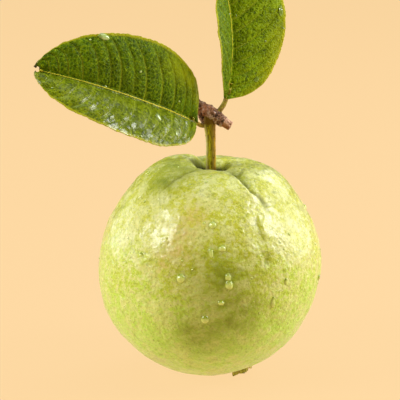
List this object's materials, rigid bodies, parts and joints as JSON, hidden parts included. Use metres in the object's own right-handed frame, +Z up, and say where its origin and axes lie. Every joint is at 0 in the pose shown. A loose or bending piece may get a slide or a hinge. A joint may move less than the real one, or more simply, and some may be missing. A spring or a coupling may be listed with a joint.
{
  "type": "guava",
  "caption": "Pale green guava as picked, standing on its flat spot, with its stalk, a short piece of cut twig and green leaves.",
  "frame": {"origin": "centre of the flat spot that the fruit rests on", "axes": "+Z up along the fruit's stalk; the lower leaf reaches towards -X and -Y, the upper one stands up along +Z, and the dried calyx sits low on the +X and -Y side"},
  "size_m": [0.1116, 0.0936, 0.184],
  "materials": {
    "skin": "satin",
    "stalk": "satin",
    "bark": "matte",
    "leaf": "satin",
    "calyx": "matte"
  },
  "bodies": {
    "root": {"fruit": "skin", "fruit_stalk": "stalk", "twig": "bark", "side_shoot": "bark", "left_leaf": "leaf", "right_leaf": "leaf", "flower_disc": "calyx", "sepal_1": "calyx", "sepal_2": "calyx", "sepal_3": "calyx", "sepal_4": "calyx", "sepal_5": "calyx"}
  },
  "joints": []
}
